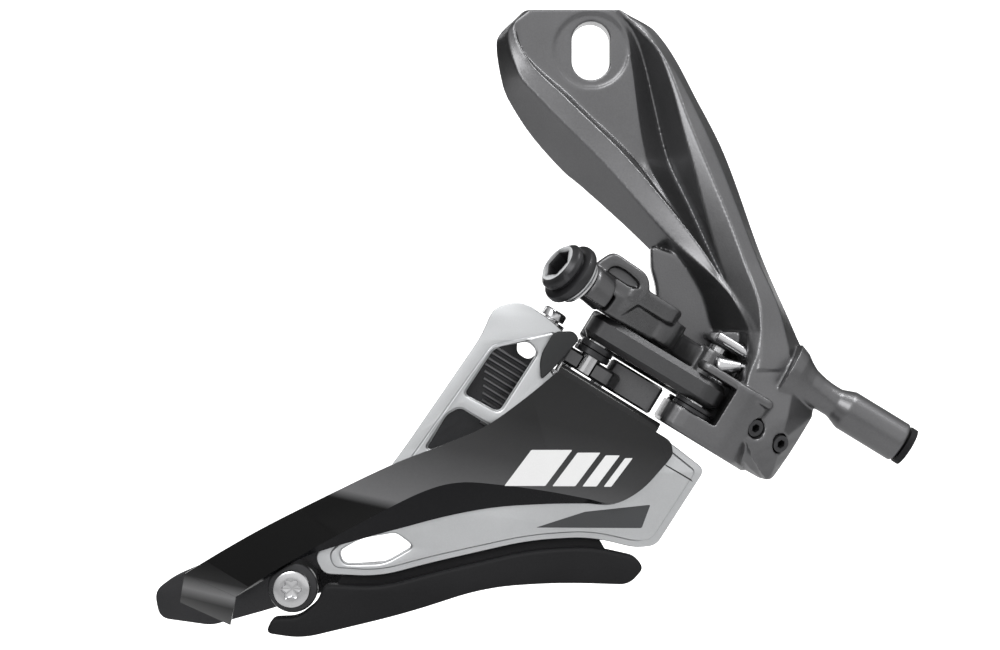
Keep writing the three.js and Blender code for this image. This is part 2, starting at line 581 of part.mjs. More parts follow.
function guidePlate() {
  const face = sidePlate(roundedShape([[-13.6, -49.3, 2], [-19, -50.3, 2.5], [-21.3, -55.8, 3],
    [-37.4, -79.2, 6], [-52, -96.4, 1.5], [-50.4, -99.6, 1.5], [-40, -100.1, 4],
    [-30.7, -97.6, 8], [-12.3, -93.4, 8], [-1.2, -92.8, 4], [7.2, -94.8, 2], [11, -94.4, 1.5],
    [20, -80.4, 1.5], [13.9, -75.6, 2], [10.9, -73.8, 1], [-8.7, -62, 1], [-5.6, -55.6, 1.5],
    [-8.4, -52.8, 1.5]]),
  GUIDE_Y, GUIDE_Y + PLATE, 0.4);
  const upper = guideWindow([[-12.6, -56.7, 1.2], [-18.8, -57.9, 1.5], [-24.4, -66.4, 1],
    [-18, -69.7, 1.2], [-10.9, -58.6, 1.4]]);
  const middle = guideWindow([[-25.2, -68.9, 1], [-27.6, -70.2, 1], [-31.4, -76.6, 1],
    [-22.4, -76.6, 2], [-18.6, -73, 1.5]]);
  const lower = guideWindow([[-47.4, -95.4, 1], [-43.6, -93.1, 2], [-37, -92, 1],
    [-33.8, -94.4, 1.2], [-39.2, -97.5, 2], [-46.6, -97.6, 1]]);
  return cut(face, upper, middle, lower);
}

addTo(derailleur, 'outer_guide_plate', guidePlate(), silver);

// ---------- skid plate ----------
function skidPlate() {
  const face = sidePlate(roundedShape([[-61, -110.4, 1.5], [-59.7, -107.6, 1], [-55, -107.4, 1.5],
    [-51.4, -104.6, 2], [-50.2, -101.4, 1.5], [-39.6, -101.9, 5], [-30.5, -99.4, 8],
    [-12.2, -95.1, 8], [-1, -94.5, 4], [7, -96.3, 2], [8.7, -98.4, 1.5], [6, -101.5, 2],
    [-6.8, -101.1, 6], [-20.5, -102, 8], [-35.1, -106.8, 8], [-54.3, -111.4, 5]]),
  GUIDE_Y - 0.9, GUIDE_Y + 3.2, 0.7);
  const tongue = sidePlate(roundedShape([[-49, -104, 1], [-47, -99.4, 2], [-38.8, -99.6, 3],
    [-30.2, -97.2, 8], [-12, -92.9, 8], [0, -92.3, 2], [3, -97.6, 1], [-20, -99, 8],
    [-34, -103, 6]]), GUIDE_Y + PLATE + GAP, GUIDE_Y + 3.2, 0.3);
  return join(face, tongue);
}

addTo(derailleur, 'skid_plate', skidPlate(), blackPlastic);

// ---------- inner guide plate with the rear bridge ----------
const BRIDGE_SCREW = [-30.4, -22.4];

function innerPlate() {
  const face = sidePlate(roundedShape([[-12.4, -52.4, 1.5], [-18.6, -54, 2], [-36, -81.4, 5],
    [-62, -94, 5], [-80, -101.6, 2], [-84, -104.6, 2], [-83, -109.8, 2], [-73, -111.2, 1.5],
    [-61.5, -108, 3], [-40, -101, 8], [-20, -95.5, 8], [-4, -94.5, 6], [8.6, -95.4, 4],
    [18.4, -81, 4], [11.2, -73.9, 1], [-8.7, -61.9, 1], [-5.8, -56.8, 1]]),
  INNER_Y, INNER_Y + PLATE, 0.3);
  const edge = GUIDE_Y + PLATE + GAP;
  const bridge = toFrame(levelPlate(roundedShape([[-34.4, edge, 1], [-27.2, edge, 1],
    [-26.6, -20, 2], [-26.4, INNER_Y + 0.4, 0], [-34.2, INNER_Y + 0.4, 0]]), -5.9, -4.4));
  const screw = toFrame(post(BRIDGE_SCREW[0], BRIDGE_SCREW[1], 1.5 + GAP, -8, -4, 16));
  const tailWindow = sidePlate(roundedShape([[-52, -96.8, 1], [-45, -92, 2], [-36, -91, 1],
    [-31, -94, 1.2], [-38, -98.8, 2], [-49, -99.6, 1]]), INNER_Y - 3, INNER_Y + 4);
  const topWindow = sidePlate(roundedShape([[-14.4, -56, 1], [-10.8, -56, 1], [-9.6, -58.4, 1],
    [-12.4, -60.4, 1], [-14.6, -59, 1]]), INNER_Y - 3, INNER_Y + 4);
  return cut(join(face, bridge), screw, tailWindow, topWindow);
}

addTo(derailleur, 'inner_guide_plate', innerPlate(), blackSteel);

function bridgeScrew() {
  const [u, v] = BRIDGE_SCREW;
  const head = turned([[0, 0], [1.5, 0], [1.5, 5.2], [2.3, 5.2], [2.3, 6.5], [1.9, 6.9], [0, 6.9]],
    at(u, v, -8.2), at(u, v, 0));
  const cross = join(box(at(u - 1.4, v - 0.25, -1.9), at(u + 1.4, v + 0.25, 0)),
    box(at(u - 0.25, v - 1.4, -1.9), at(u + 0.25, v + 1.4, 0)));
  return cut(head, cross);
}

addTo(linkage, 'bridge_screw', bridgeScrew(), chrome);
addTo(linkage, 'bridge_washer', ring(...BRIDGE_SCREW, 2.9, 1.5 + GAP, -4.1, -3.3), chrome);

// ---------- tail screw and spacer ----------
function tailPoint(y) {
  return new THREE.Vector3(TAIL_SCREW.x, y, TAIL_SCREW.z);
}

function tailScrew() {
  const top = -31.2;
  const profile = [[0, 0], [2.9, 0], [3.4, 0.5], [3.4, 1.4], [2.9, 2], [1.7, 2.2], [1.7, 12],
    [0, 12]];
  const body = turned(profile, tailPoint(top), tailPoint(0), 28);
  const lobes = Array.from({ length: 6 }, (_, i) => {
    const angle = (i * Math.PI) / 3;
    const side = new THREE.Vector3(Math.cos(angle) * 1.1, 0, Math.sin(angle) * 1.1);
    return rod(0.5, tailPoint(top - 1).add(side), tailPoint(top + 1.5).add(side), 10);
  });
  return cut(body, rod(1.15, tailPoint(top - 1), tailPoint(top + 1.5), 16), ...lobes);
}

function tailBoss() {
  const profile = [[1.7 + GAP, 0], [4.6, 0], [4.6, 1.7], [3.6, 2.2], [3.6, 14.2],
    [1.7 + GAP, 14.2], [1.7 + GAP, 0]];
  return turned(profile, tailPoint(-28.7), tailPoint(0), 28);
}

addTo(derailleur, 'tail_screw', tailScrew(), chrome);
addTo(derailleur, 'tail_spacer', tailBoss(), blackSteel);

export default derailleur;
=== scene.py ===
import json
import math

import bmesh
import bpy
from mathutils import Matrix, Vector


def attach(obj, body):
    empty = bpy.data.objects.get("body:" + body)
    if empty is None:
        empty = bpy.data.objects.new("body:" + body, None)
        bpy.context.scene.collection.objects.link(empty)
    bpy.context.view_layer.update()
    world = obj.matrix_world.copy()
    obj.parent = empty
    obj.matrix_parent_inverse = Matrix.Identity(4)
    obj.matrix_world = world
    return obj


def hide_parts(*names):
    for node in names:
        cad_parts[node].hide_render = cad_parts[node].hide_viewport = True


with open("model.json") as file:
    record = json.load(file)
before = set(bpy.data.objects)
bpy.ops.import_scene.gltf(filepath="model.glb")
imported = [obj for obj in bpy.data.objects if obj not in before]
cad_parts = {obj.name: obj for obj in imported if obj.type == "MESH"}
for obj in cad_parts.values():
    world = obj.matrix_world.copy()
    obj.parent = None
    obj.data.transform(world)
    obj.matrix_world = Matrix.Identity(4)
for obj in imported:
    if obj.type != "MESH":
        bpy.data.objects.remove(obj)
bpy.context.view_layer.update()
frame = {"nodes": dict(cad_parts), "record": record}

# ---------- driving dimensions, in millimetres ----------
MM = 0.001
TILT = math.radians(31.5)          # the cable line below horizontal
PIVOT_X = 19.45
PIVOT_Z = -65.8
OUTER_V = -30.0                    # outer front pivot
INNER_V = -17.0                    # inner front pivot
LINK_LENGTH = 21.0
LINK_OFFSET = 4.7
REAR_U = -math.sqrt(LINK_LENGTH ** 2 - LINK_OFFSET ** 2)
LINK_HALF = 2.5
EYE_RADIUS = 3.9
PLATE = 1.4
FRAME_Y = -30.4                    # outboard face of the black frame plate
GUIDE_Y = -28.7                    # outboard face of the silver guide plate
INNER_Y = -14.2                    # outboard face of the inner plate
FLANGE_W = -9.2
CABLE_V = -23.0
CABLE_W = 10.4
TAIL_X = -56.0                     # tail screw
TAIL_Z = -102.1
WELD = 1e-7                        # metres within which two corners are one


def linkage(u, v, w):
    """A point of the tilted linkage axes in the frame, in millimetres."""
    x = PIVOT_X + u * math.cos(TILT) + w * math.sin(TILT)
    z = PIVOT_Z - u * math.sin(TILT) + w * math.cos(TILT)
    return Vector((x, v, z))


def linkage_way(u, v, w):
    return linkage(u, v, w) - linkage(0, 0, 0)


# ---------- camera, lights and floor ----------
def camera():
    data = bpy.data.cameras.new("camera")
    data.lens = 72
    data.sensor_width = 36
    obj = bpy.data.objects.new("camera", data)
    obj.location = Vector((-17.8, -397, -53.7)) * MM
    obj.rotation_euler = (math.radians(90), 0, 0)
    bpy.context.scene.collection.objects.link(obj)
    bpy.context.scene.camera = obj


def area_light(name, place, target, size, energy, size_y=None):
    data = bpy.data.lights.new(name, "AREA")
    data.shape = "RECTANGLE"
    data.size = size
    data.size_y = size_y or size
    data.energy = energy
    obj = bpy.data.objects.new(name, data)
    obj.location = place
    direction = Vector(target) - Vector(place)
    obj.rotation_euler = direction.to_track_quat("-Z", "Y").to_euler()
    bpy.context.scene.collection.objects.link(obj)


def stage_plane(name, corners, glow):
    mesh = bpy.data.meshes.new(name)
    mesh.from_pydata([Vector(c) for c in corners], [], [(0, 1, 2, 3)])
    obj = bpy.data.objects.new(name, mesh)
    bpy.context.scene.collection.objects.link(obj)
    look = bpy.data.materials.new(name)
    look.use_nodes = True
    shader = look.node_tree.nodes["Principled BSDF"]
    shader.inputs["Base Color"].default_value = (0.75, 0.75, 0.75, 1)
    shader.inputs["Roughness"].default_value = 0.9
    shader.inputs["Emission Color"].default_value = (1, 1, 1, 1)
    shader.inputs["Emission Strength"].default_value = glow
    mesh.materials.append(look)


BRIGHTEST_WAY = (0.35, -0.7, 0.62)


def sky():
    """A soft surround, brightest above the front right and dim below the left."""
    world = bpy.data.worlds.new("studio")
    bpy.context.scene.world = world
    world.use_nodes = True
    nodes = world.node_tree.nodes
    link = world.node_tree.links.new
    place = nodes.new("ShaderNodeTexCoord")
    facing = nodes.new("ShaderNodeVectorMath")
    facing.operation = "DOT_PRODUCT"
    facing.inputs[1].default_value = Vector(BRIGHTEST_WAY).normalized()
    share = nodes.new("ShaderNodeMapRange")
    share.inputs["From Min"].default_value = -1
    ramp = nodes.new("ShaderNodeValToRGB")
    ramp.color_ramp.elements[0].position = 0.42
    ramp.color_ramp.elements[0].color = (0.05, 0.05, 0.05, 1)
    ramp.color_ramp.elements[1].position = 0.9
    ramp.color_ramp.elements[1].color = (1, 1, 1, 1)
    link(place.outputs["Generated"], facing.inputs[0])
    link(facing.outputs["Value"], share.inputs["Value"])
    link(share.outputs["Result"], ramp.inputs["Fac"])
    link(ramp.outputs["Color"], nodes["Background"].inputs["Color"])
    nodes["Background"].inputs["Strength"].default_value = 1.0


def studio():
    """An unlit pale floor, a narrow glowing backdrop and three soft lights, in metres."""
    sky()
    floor = -0.32
    wall = 1.2
    wall_top = 0.4
    side = 3
    half = 0.6
    stage_plane("floor", [(-side, -side, floor), (side, -side, floor), (side, side, floor),
                          (-side, side, floor)], 0.0)
    stage_plane("backdrop", [(-half, wall, floor), (half, wall, floor), (half, wall, wall_top),
                             (-half, wall, wall_top)], 1.05)
    area_light("key", (-0.3, -0.75, 0.55), (0, 0, -0.05), 0.5, 3.5)
    area_light("top", (0.28, -0.12, 0.5), (0, 0, -0.06), 0.1, 1.4, 0.3)
    area_light("back_left", (-0.5, 0.5, 0.42), (0, 0, -0.05), 0.3, 0.5)
    bpy.context.scene.view_settings.view_transform = "Standard"


camera()
studio()


# ---------- materials ----------
# the slanted line along which painted reflections are laid into a colour
PAINTED_REFLECTION_LINE = Vector((0.218, 0, 0.976))


def principled(name, color, metallic, roughness, spread=0.0, grain=0.0, grain_size=0.3,
               tone=0.12, tone_size=14.0, edge_lightening=0.0, painted_reflection=None, specular=0.5):
    """A finish with slow tone changes, a fine grain and, where asked for, sharp edges lightened in
    colour.

    spread widens the roughness, grain is the height of the fine bump in millimetres and
    grain_size its scale. The list of [place, tone] stops, where given, paints reflections and
    highlights into the colour as lighter and darker bands, the place in millimetres along a
    slanted line.
    """
    look = bpy.data.materials.new(name)
    look.use_nodes = True
    nodes = look.node_tree.nodes
    link = look.node_tree.links.new
    shader = nodes["Principled BSDF"]
    shader.inputs["Metallic"].default_value = metallic
    shader.inputs["Specular IOR Level"].default_value = specular
    place = nodes.new("ShaderNodeTexCoord")

    slow = nodes.new("ShaderNodeTexNoise")
    slow.inputs["Scale"].default_value = 1 / (tone_size * MM)
    slow.inputs["Detail"].default_value = 3
    link(place.outputs["Object"], slow.inputs["Vector"])
    fine = nodes.new("ShaderNodeTexNoise")
    fine.inputs["Scale"].default_value = 1 / (grain_size * MM)
    fine.inputs["Detail"].default_value = 5
    fine.inputs["Roughness"].default_value = 0.65
    link(place.outputs["Object"], fine.inputs["Vector"])

    ramp = nodes.new("ShaderNodeValToRGB")
    dark = [c * (1 - tone) for c in color]
    light = [min(1, c * (1 + tone)) for c in color]
    ramp.color_ramp.elements[0].position = 0.3
    ramp.color_ramp.elements[0].color = (*dark, 1)
    ramp.color_ramp.elements[1].position = 0.7
    ramp.color_ramp.elements[1].color = (*light, 1)
    blend = nodes.new("ShaderNodeMath")
    blend.operation = "MULTIPLY_ADD"
    blend.inputs[1].default_value = 0.5
    link(fine.outputs["Fac"], blend.inputs[0])
    half = nodes.new("ShaderNodeMath")
    half.operation = "MULTIPLY"
    half.inputs[1].default_value = 0.5
    link(slow.outputs["Fac"], half.inputs[0])
    link(half.outputs[0], blend.inputs[2])
    link(blend.outputs[0], ramp.inputs["Fac"])
    colour = ramp.outputs["Color"]
    # sharp edges, found by their pointiness, lightened in colour
    if edge_lightening:
        geometry = nodes.new("ShaderNodeNewGeometry")
        edge = nodes.new("ShaderNodeMapRange")
        edge.inputs["From Min"].default_value = 0.515
        edge.inputs["From Max"].default_value = 0.62
        edge.inputs["To Max"].default_value = edge_lightening
        link(geometry.outputs["Pointiness"], edge.inputs["Value"])
        mix = nodes.new("ShaderNodeMix")
        mix.data_type = "RGBA"
        mix.inputs["B"].default_value = (*[min(1, c * 2.6 + 0.05) for c in color], 1)
        link(edge.outputs["Result"], mix.inputs["Factor"])
        link(colour, mix.inputs["A"])
        colour = mix.outputs["Result"]
    # painted reflection: tone bands along a slanted line, multiplied into the colour, stand in for
    # reflections and highlights
    if painted_reflection:
        along = nodes.new("ShaderNodeVectorMath")
        along.operation = "DOT_PRODUCT"
        along.inputs[1].default_value = PAINTED_REFLECTION_LINE
        link(place.outputs["Object"], along.inputs[0])
        first, last = painted_reflection[0][0], painted_reflection[-1][0]
        across = nodes.new("ShaderNodeMapRange")
        across.inputs["From Min"].default_value = first * MM
        across.inputs["From Max"].default_value = last * MM
        link(along.outputs["Value"], across.inputs["Value"])
        tones = nodes.new("ShaderNodeValToRGB")
        for i, (spot, level) in enumerate(painted_reflection):
            stop = (spot - first) / (last - first)
            if i in (0, len(painted_reflection) - 1):
                element = tones.color_ramp.elements[0 if i == 0 else -1]
                element.position = stop
            else:
                element = tones.color_ramp.elements.new(stop)
            element.color = (level, level, level, 1)
        link(across.outputs["Result"], tones.inputs["Fac"])
        dim = nodes.new("ShaderNodeMix")
        dim.data_type = "RGBA"
        dim.blend_type = "MULTIPLY"
        dim.inputs["Factor"].default_value = 1
        link(colour, dim.inputs["A"])
        link(tones.outputs["Color"], dim.inputs["B"])
        colour = dim.outputs["Result"]
    link(colour, shader.inputs["Base Color"])

    gloss = nodes.new("ShaderNodeMapRange")
    gloss.inputs["From Min"].default_value = 0.25
    gloss.inputs["From Max"].default_value = 0.75
    gloss.inputs["To Min"].default_value = max(0.02, roughness - spread)
    gloss.inputs["To Max"].default_value = min(1, roughness + spread)
    link(blend.outputs[0], gloss.inputs["Value"])
    link(gloss.outputs["Result"], shader.inputs["Roughness"])

    if grain:
        bump = nodes.new("ShaderNodeBump")
        bump.inputs["Strength"].default_value = 0.6
        bump.inputs["Distance"].default_value = grain * MM
        link(fine.outputs["Fac"], bump.inputs["Height"])
        link(bump.outputs["Normal"], shader.inputs["Normal"])
    return look


LOOKS = {
    "anodised_alloy": principled("anodised_grey", (0.16, 0.16, 0.164), 0.92, 0.33, 0.06,
                                 grain=0.03, grain_size=0.35, tone=0.12),
    "dark_alloy": principled("anodised_dark", (0.12, 0.12, 0.123), 0.85, 0.3, 0.07,
                             grain=0.015, grain_size=0.3, tone=0.14),
    # gloss black paint with a painted reflection: near black at the bottom, a lighter band low on
    # the plate, fading upward, standing in for softbox reflections on the gloss
    "gloss_black": principled("gloss_black", (0.4, 0.4, 0.41), 0.0, 0.2, 0.03,
                              grain=0.004, grain_size=0.5, tone=0.06, specular=0.2,
                              painted_reflection=[(-112, 0.004), (-93.8, 0.008), (-92, 0.36), (-87, 0.26),
                                    (-80, 0.12), (-72, 0.06), (-62, 0.045)]),
    "black_steel": principled("black_steel", (0.03, 0.03, 0.032), 0.6, 0.3, 0.08,
                              grain=0.01, grain_size=0.25, tone=0.2, edge_lightening=0.3),
    "silver_alloy": principled("silver_satin", (0.6, 0.61, 0.62), 1.0, 0.36, 0.08,
                               grain=0.03, grain_size=0.22, tone=0.07),
    "bright_steel": principled("bright_steel", (0.6, 0.6, 0.61), 1.0, 0.2, 0.05,
                               grain=0.004, grain_size=0.3, tone=0.06),
    "spring_steel": principled("spring_steel", (0.3, 0.3, 0.31), 1.0, 0.28, 0.08,
                               grain=0.006, grain_size=0.2, tone=0.1),
    "black_plastic": principled("black_plastic", (0.012, 0.012, 0.013), 0.0, 0.55, 0.08,
                                grain=0.05, grain_size=0.4, tone=0.25, specular=0.15),
    "grey_plastic": principled("grey_plastic", (0.025, 0.026, 0.027), 0.0, 0.5, 0.06,
                               grain=0.015, grain_size=0.3, tone=0.12, specular=0.3),
}
# plain near-black for the lower band of the frame plate, kept darker than the face above as
# painted shade on its down-facing side
UNDERSIDE_SHADE_PAINT = principled("frame_underside_shade_paint", (0.006, 0.006, 0.007), 0.0, 0.22, 0.03, grain=0.004,
                        grain_size=0.5, tone=0.2, specular=0.2)
# the tail fold of the black plate in light grey with a painted highlight band across the bend,
# standing in for the gloss highlight there
FOLD_HIGHLIGHT_PAINT = principled("fold_painted_highlight", (0.6, 0.6, 0.61), 0.0, 0.25, 0.03, grain=0.004,
                        grain_size=0.5, tone=0.05, specular=0.2,
                        painted_reflection=[(-124, 0.1), (-121, 0.12), (-118, 0.05), (-116, 0.3),
                              (-113.5, 0.03), (-111, 0.01)])
LINK_ALLOY = principled("link_alloy", (0.065, 0.065, 0.067), 0.88, 0.34, 0.06, grain=0.02,
                        grain_size=0.3, tone=0.12)
RIB_EDGE = principled("rib_edge", (0.2, 0.2, 0.205), 1.0, 0.3, 0.05, grain=0.006,
                      grain_size=0.3, tone=0.15)
WHITE_INK = principled("white_ink", (0.8, 0.8, 0.8), 0.0, 0.45, 0.05, grain=0.006,
                       grain_size=0.2, tone=0.05)
GREY_INK = principled("grey_ink", (0.05, 0.052, 0.055), 0.1, 0.4, 0.05, grain=0.01,
                      grain_size=0.25, tone=0.12)


# ---------- mesh helpers ----------
def body_holding(node):
    for body, nodes in frame["record"]["behaviour"]["bodies"].items():
        if node in nodes:
            return body
    raise KeyError(node)


def slot_of(node):
    for row in frame["record"]["subparts"]:
        if row["node"] == node:
            return row["material_slot"]
    raise KeyError(node)


def add_piece(name, mesh, node, look=None, replaces=True, sharp=32):
    """Puts a mesh in the scene as a piece on the body of a CAD node, in its place if asked."""
    obj = bpy.data.objects.new(name, mesh)
    bpy.context.scene.collection.objects.link(obj)
    mesh.materials.clear()
    mesh.materials.append(look or LOOKS[slot_of(node)])
    for face in mesh.polygons:
        face.use_smooth = True
        face.material_index = 0
    mesh.set_sharp_from_angle(angle=math.radians(sharp))
    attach(obj, body_holding(node))
    if replaces:
        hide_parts(node)
    return obj


def soften(obj, width=0.15, segments=2, angle=28):
    """Rounds the edges of a piece by a width in millimetres."""
    bevel = obj.modifiers.new("edges", "BEVEL")
    bevel.width = width * MM
    bevel.segments = segments
    bevel.limit_method = "ANGLE"
    bevel.angle_limit = math.radians(angle)
    bevel.use_clamp_overlap = True
    bevel.harden_normals = True


def rounded(corners, steps=8):
    """Points of a closed outline through [x, z, radius] corners, each rounded by its radius."""
    points = []
    count = len(corners)
    for i, corner in enumerate(corners):
        here = Vector(corner[:2])
        radius = corner[2] if len(corner) > 2 else 0
        back = Vector(corners[i - 1][:2]) - here
        ahead = Vector(corners[(i + 1) % count][:2]) - here
        reach = min(radius, back.length * 0.45, ahead.length * 0.45)
        start = here + back.normalized() * reach
        end = here + ahead.normalized() * reach
        if reach == 0:
            points.append(here)
            continue
        for k in range(steps + 1):
            t = k / steps
            points.append(start * (1 - t) ** 2 + here * 2 * t * (1 - t) + end * t * t)
    return points


def baked(obj):
    """The mesh of an object with its modifiers applied; the object itself is removed."""
    bpy.context.view_layer.update()
    graph = bpy.context.evaluated_depsgraph_get()
    mesh = bpy.data.meshes.new_from_object(obj.evaluated_get(graph))
    bpy.data.objects.remove(obj)
    return mesh


def finished(work, name):
    """A bmesh as a new mesh, its faces turned outward."""
    bmesh.ops.recalc_face_normals(work, faces=work.faces)
    mesh = bpy.data.meshes.new(name)
    work.to_mesh(mesh)
    work.free()
    return mesh


def face_outward(mesh, weld=False):
    """Turns the faces of a mesh outward, after joining its loose corners if asked."""
    work = bmesh.new()
    work.from_mesh(mesh)
    if weld:
        bmesh.ops.remove_doubles(work, verts=work.verts, dist=WELD)
    bmesh.ops.recalc_face_normals(work, faces=work.faces)
    work.to_mesh(mesh)
    work.free()


def plate_mesh(outline, holes, outboard, inboard, bevel=0.3, rings=2, inset=0.0):
    """A sheet cut to an outline in X and Z, with holes, between two values of Y."""
    curve = bpy.data.curves.new("outline", "CURVE")
    curve.dimensions = "2D"
    curve.fill_mode = "BOTH"
    curve.extrude = ((inboard - outboard) / 2 - bevel) * MM
    curve.bevel_depth = bevel * MM
    curve.bevel_resolution = rings
    curve.offset = -(bevel + inset) * MM
    for loop in [outline, *holes]:
        spline = curve.splines.new("POLY")
        spline.points.add(len(loop) - 1)
        spline.use_cyclic_u = True
        for point, (x, z) in zip(spline.points, loop):
            point.co = (x * MM, z * MM, 0, 1)
    obj = bpy.data.objects.new("outline", curve)
    bpy.context.scene.collection.objects.link(obj)
    mesh = baked(obj)
    middle = (outboard + inboard) / 2 * MM
    for vertex in mesh.vertices:
        x, y, z = vertex.co
        vertex.co = (x, middle - z, y)
    face_outward(mesh, weld=True)
    return mesh


def joined(*meshes):
    """Several meshes as one, each still its own shell."""
    work = bmesh.new()
    for mesh in meshes:
        work.from_mesh(mesh)
    whole = bpy.data.meshes.new("joined")
    work.to_mesh(whole)
    work.free()
    return whole


def grid_mesh(rows, closed=False):
    """A skin through rows of points, all of one length; closed joins the last row to the first."""
    work = bmesh.new()
    verts = [[work.verts.new(Vector(p) * MM) for p in row] for row in rows]
    pairs = list(zip(verts, verts[1:]))
    if closed:
        pairs.append((verts[-1], verts[0]))
    for upper, lower in pairs:
        for i in range(len(upper) - 1):
            work.faces.new((upper[i], upper[i + 1], lower[i + 1], lower[i]))
    if closed:
        work.faces.new([row[0] for row in verts])
        work.faces.new([row[-1] for row in reversed(verts)])
    bmesh.ops.remove_doubles(work, verts=work.verts, dist=WELD)
    return finished(work, "grid")


def form_factor(form, angle):
    """How the radius of a round, six-sided or six-lobed section changes round its axis."""
    if form == "hex":
        return math.cos(math.pi / 6) / math.cos(angle % (math.pi / 3) - math.pi / 6)
    if form == "lobes":
        return 1 + 0.15 * math.cos(6 * angle)
    return 1.0


def spun_mesh(profile, start, way, segments=72):
    """A solid turned about an axis from (radius, height[, form]) points."""
    axis = Vector(way).normalized()
    turn = Vector((0, 0, 1)).rotation_difference(axis)
    work = bmesh.new()
    rings = []
    for radius, height, *form in profile:
        if radius == 0:
            rings.append([work.verts.new((Vector(start) + axis * height) * MM)])
            continue
        ring = []
        for k in range(segments):
            angle = 2 * math.pi * k / segments
            reach = radius * form_factor(form[0] if form else "", angle)
            local = Vector((reach * math.cos(angle), reach * math.sin(angle), height))
            ring.append(work.verts.new((Vector(start) + turn @ local) * MM))
        rings.append(ring)
    loop = profile[0][0] > 0
    pairs = list(zip(rings, rings[1:]))
    if loop:
        pairs.append((rings[-1], rings[0]))
    for near, far in pairs:
        for k in range(segments):
            after = (k + 1) % segments
            if len(near) == 1 and len(far) > 1:
                work.faces.new((near[0], far[k], far[after]))
            elif len(far) == 1 and len(near) > 1:
                work.faces.new((near[k], far[0], near[after]))
            elif len(near) > 1:
                work.faces.new((near[k], far[k], far[after], near[after]))
    return finished(work, "spun")


def spun_on_linkage(profile, u, v, w, way=(0, 0, 1), segments=72):
    return spun_mesh(profile, linkage(u, v, w), linkage_way(*way), segments)


def forged(name, mesh, node, voxel, iterations, sharp):
    """Overlapping solids fused into one soft-edged forging: remeshed finely, then smoothed."""
    obj = bpy.data.objects.new("forging", mesh)
    bpy.context.scene.collection.objects.link(obj)
    remesh = obj.modifiers.new("voxels", "REMESH")
    remesh.mode = "VOXEL"
    remesh.voxel_size = voxel * MM
    relax = obj.modifiers.new("relax", "SMOOTH")
    relax.factor = 0.5
    relax.iterations = iterations
    add_piece(name, baked(obj), node, sharp=sharp)


# ---------- bracket ----------
# Lines that run down the forged arm, each as [z, x, y] knots.
ARM_LINES = [
    # left edge
    [[8, -13.6, -2], [2, -18.6, -2], [-6.2, -17.4, -2], [-13.3, -13.8, -2], [-23.4, -5.4, -2],
     [-26.3, -2, -3], [-38.9, 11.2, -7], [-50, 21, -11], [-60, 24.8, -15], [-72, 24, -16]],
    # outer edge of the rim
    [[8, -12.8, -5.2], [3.5, -16.4, -6], [-5, -14.2, -8.5], [-9.9, -10.1, -9.3],
     [-22.8, 2.5, -10.5], [-37, 14.8, -13], [-49, 26.4, -19.5], [-57.4, 29, -24.5],
     [-72, 26, -29.5]],
    # inner edge of the rim
    [[8, -12.3, -5.6], [5, -15, -6.3], [-2, -12.3, -8.2], [-9.8, -4.7, -8.8],
     [-22.8, 8.2, -10.3], [-44.4, 24, -16.5], [-57.4, 29.5, -25], [-72, 26.3, -30.4]],
    # left edge of the pad
    [[8, -12, -6], [5, -14.4, -6], [2, -14.2, -6], [-9.8, -3.2, -6], [-22, 9, -6.4],
     [-27, 12.2, -9.4], [-44.4, 24.2, -16.3], [-57.4, 29.8, -25.3], [-72, 26.5, -30.8]],
    # right edge of the pad
    [[8, 4, -6], [2.4, 6.8, -6], [-20.7, 10.5, -6.2], [-27, 13.4, -9.2], [-44.4, 24.3, -16.2],
     [-57.4, 30, -25.5], [-72, 26.7, -30.9]],
    # floor of the gully
    [[8, 4.6, -6], [4, 8.2, -5], [-2, 10.6, -3.2], [-10, 12.6, -2.6], [-20, 15, -3.2],
     [-32, 19.8, -8.2], [-44.4, 24.5, -15.8], [-57.4, 30.2, -25.6], [-72, 26.9, -31]],
    # right wall of the gully
    [[8, 5.1, -6.2], [4, 8.8, -6.3], [-0.9, 13.2, -7.6], [-18.9, 18.2, -11.8],
     [-44.4, 24.9, -16.8], [-57.4, 30.5, -25.8], [-72, 27.1, -31.2]],
    # crest
    [[8, 5.5, -6.2], [4.6, 8.9, -6.8], [-1.8, 14.2, -8], [-13.6, 18.4, -11],
     [-41.4, 28.4, -18.6], [-51.6, 30.9, -23.6], [-57.4, 30.8, -26], [-72, 27.5, -31.4]],
    # outer flank
    [[8, 5.8, -5.4], [4.6, 10.4, -6], [-13.6, 20.9, -9.2], [-41.4, 31.3, -16.6],
     [-51.6, 35, -20.8], [-64.8, 36.8, -25.5], [-72, 35.2, -28]],
    # right edge
    [[8, 6, -4], [4, 12.8, -4], [-10.1, 21.1, -5], [-20.4, 26, -6.8], [-41.3, 32.8, -12.5],
     [-56, 38.6, -17], [-64.5, 41.6, -20], [-72, 40.6, -21.4]],
]
ARM_BACK = [[8, 0, 0], [-20, 0, 0], [-30, -1.4, 0], [-40, -4.4, 0], [-50, -7.5, 0],
            [-60, -11, 0], [-72, -13, 0]]
ARM_TOP = 8.0
ARM_FOOT = -58.0                   # below this the bracket is the fork round the links
SLOT_WIDTH = 7.5
SLOT_LENGTH = 11.5
SPOT_FACE = 7.4                    # radius of the washer face round the slot
ARM_RINGS = 110
ARM_OVERLAP = 4                    # how far the smooth arm runs on below its foot
FORK_OVERLAP = 3                   # how far the fork runs up into the arm
WEB_OUTLINE = [[11.2, -38.4, 1], [11.3, -43, 1], [12.3, -46.5, 1.5], [12.3, -54, 1],
               [25, -63, 1], [30, -56, 1], [16, -40, 1]]
WEB_FRONT = -12.2
WEB_BACK = -8.2


